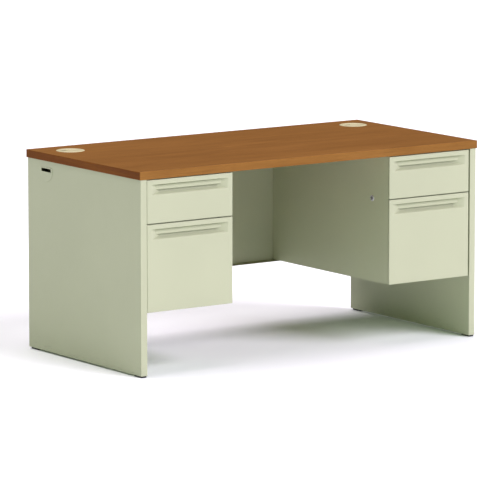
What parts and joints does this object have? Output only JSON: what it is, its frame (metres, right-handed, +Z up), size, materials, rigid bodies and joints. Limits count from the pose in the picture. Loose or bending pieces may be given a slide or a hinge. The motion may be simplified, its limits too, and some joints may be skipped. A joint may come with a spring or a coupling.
{
  "type": "teacher desk",
  "caption": "Steel double-pedestal teacher desk: wood-grain worktop on slab end panels, box over file drawers hung each side of an open kneehole, modesty panel, cable grommets and locks.",
  "frame": {"origin": "on the floor, in the middle of the desk's width and depth", "axes": "+X to the right of a person sitting at the desk, +Y to the back (away from that person), +Z up"},
  "size_m": [1.524, 0.762, 0.7514],
  "materials": {
    "board": "raw particle board",
    "laminate": "satin wood-grain laminate",
    "edge_band": "satin wood-grain edge banding",
    "putty_paint": "satin textured putty enamel",
    "drawer_paint": "satin textured putty enamel",
    "drawer_body_paint": "satin putty enamel",
    "zinc_steel": "zinc plated",
    "lock_chrome": "bright nickel plate",
    "putty_plastic": "fine matt moulded plastic",
    "black_plastic": "matt moulded plastic"
  },
  "bodies": {
    "desk": {"end_panel_stiffeners": "putty_paint", "glide_housings": "black_plastic", "left_cable_port": "putty_plastic", "left_end_panel_inner": "putty_paint", "left_end_panel_outer": "putty_paint", "left_front_glide": "black_plastic", "left_grommet_ring": "putty_plastic", "left_lock_cylinder": "lock_chrome", "left_pedestal_bottom": "putty_paint", "left_pedestal_case": "putty_paint", "left_pedestal_knee_side": "putty_paint", "left_pedestal_rails": "putty_paint", "left_rear_glide": "black_plastic", "left_slide_case": "zinc_steel", "modesty_panel": "putty_paint", "pedestal_bolts": "zinc_steel", "right_cable_port": "putty_plastic", "right_end_panel_inner": "putty_paint", "right_end_panel_outer": "putty_paint", "right_front_glide": "black_plastic", "right_grommet_ring": "putty_plastic", "right_lock_cylinder": "lock_chrome", "right_pedestal_bottom": "putty_paint", "right_pedestal_case": "putty_paint", "right_pedestal_knee_side": "putty_paint", "right_pedestal_rails": "putty_paint", "right_rear_glide": "black_plastic", "right_slide_case": "zinc_steel", "screws": "zinc_steel", "worktop_brackets": "zinc_steel", "worktop_core": "board", "worktop_edge_band": "edge_band", "worktop_laminate": "laminate", "worktop_rail": "zinc_steel"},
    "right_box_drawer": {"right_box_drawer_front": "drawer_paint", "right_box_drawer_body": "drawer_body_paint", "right_box_slide_drawer": "zinc_steel"},
    "right_file_drawer": {"right_file_drawer_front": "drawer_paint", "right_file_drawer_body": "drawer_body_paint", "right_file_hang_rails": "zinc_steel", "right_file_slide_drawer": "zinc_steel"},
    "right_box_slide": {"right_box_slide_middle": "zinc_steel"},
    "right_file_slide": {"right_file_slide_middle": "zinc_steel"},
    "right_pencil_tray": {"right_pencil_tray": "black_plastic"},
    "right_lock_plug": {"right_lock_plug": "lock_chrome"},
    "right_lock_bar": {"right_lock_bar": "zinc_steel"},
    "right_grommet_cap": {"right_grommet_cap": "putty_plastic"},
    "left_box_drawer": {"left_box_drawer_front": "drawer_paint", "left_box_drawer_body": "drawer_body_paint", "left_box_slide_drawer": "zinc_steel"},
    "left_file_drawer": {"left_file_drawer_front": "drawer_paint", "left_file_drawer_body": "drawer_body_paint", "left_file_hang_rails": "zinc_steel", "left_file_slide_drawer": "zinc_steel"},
    "left_box_slide": {"left_box_slide_middle": "zinc_steel"},
    "left_file_slide": {"left_file_slide_middle": "zinc_steel"},
    "left_pencil_tray": {"left_pencil_tray": "black_plastic"},
    "left_lock_plug": {"left_lock_plug": "lock_chrome"},
    "left_lock_bar": {"left_lock_bar": "zinc_steel"},
    "left_grommet_cap": {"left_grommet_cap": "putty_plastic"}
  },
  "joints": [
    {"name": "right_box_drawer_slide", "type": "slide", "parent": "desk", "child": "right_box_drawer", "axis": [0, -1, 0], "range_m": [0, 0.46]},
    {"name": "right_box_slide_travel", "type": "slide", "parent": "desk", "child": "right_box_slide", "axis": [0, -1, 0], "range_m": [0, 0.2305]},
    {"name": "right_file_drawer_slide", "type": "slide", "parent": "desk", "child": "right_file_drawer", "axis": [0, -1, 0], "range_m": [0, 0.46]},
    {"name": "right_file_slide_travel", "type": "slide", "parent": "desk", "child": "right_file_slide", "axis": [0, -1, 0], "range_m": [0, 0.2305]},
    {"name": "right_pencil_tray_slide", "type": "slide", "parent": "right_box_drawer", "child": "right_pencil_tray", "axis": [0, 1, 0], "range_m": [0, 0.38]},
    {"name": "right_lock_turn", "type": "hinge", "parent": "desk", "child": "right_lock_plug", "pos_m": [0.352, -0.272, 0.551], "axis": [1, 0, 0], "range_deg": [0, 90]},
    {"name": "right_lock_lift", "type": "slide", "parent": "desk", "child": "right_lock_bar", "axis": [0, 0, 1], "range_m": [0, 0.0128]},
    {"name": "right_grommet_turn", "type": "hinge", "parent": "desk", "child": "right_grommet_cap", "pos_m": [0.649, 0.254, 0.75], "axis": [0, 0, 1], "continuous": true},
    {"name": "left_box_drawer_slide", "type": "slide", "parent": "desk", "child": "left_box_drawer", "axis": [0, -1, 0], "range_m": [0, 0.46]},
    {"name": "left_box_slide_travel", "type": "slide", "parent": "desk", "child": "left_box_slide", "axis": [0, -1, 0], "range_m": [0, 0.2305]},
    {"name": "left_file_drawer_slide", "type": "slide", "parent": "desk", "child": "left_file_drawer", "axis": [0, -1, 0], "range_m": [0, 0.46]},
    {"name": "left_file_slide_travel", "type": "slide", "parent": "desk", "child": "left_file_slide", "axis": [0, -1, 0], "range_m": [0, 0.2305]},
    {"name": "left_pencil_tray_slide", "type": "slide", "parent": "left_box_drawer", "child": "left_pencil_tray", "axis": [0, 1, 0], "range_m": [0, 0.38]},
    {"name": "left_lock_turn", "type": "hinge", "parent": "desk", "child": "left_lock_plug", "pos_m": [-0.3582, -0.272, 0.551], "axis": [1, 0, 0], "range_deg": [0, 90]},
    {"name": "left_lock_lift", "type": "slide", "parent": "desk", "child": "left_lock_bar", "axis": [0, 0, 1], "range_m": [0, 0.0128]},
    {"name": "left_grommet_turn", "type": "hinge", "parent": "desk", "child": "left_grommet_cap", "pos_m": [-0.649, 0.254, 0.75], "axis": [0, 0, 1], "continuous": true}
  ],
  "couplings": [
    {"joint": "right_box_slide_travel", "follows": "right_box_drawer_slide", "ratio": 0.5},
    {"joint": "right_file_slide_travel", "follows": "right_file_drawer_slide", "ratio": 0.5},
    {"joint": "right_lock_lift", "follows": "right_lock_turn", "m_per_rad": 0.0081},
    {"joint": "left_box_slide_travel", "follows": "left_box_drawer_slide", "ratio": 0.5},
    {"joint": "left_file_slide_travel", "follows": "left_file_drawer_slide", "ratio": 0.5},
    {"joint": "left_lock_lift", "follows": "left_lock_turn", "m_per_rad": 0.0081}
  ]
}
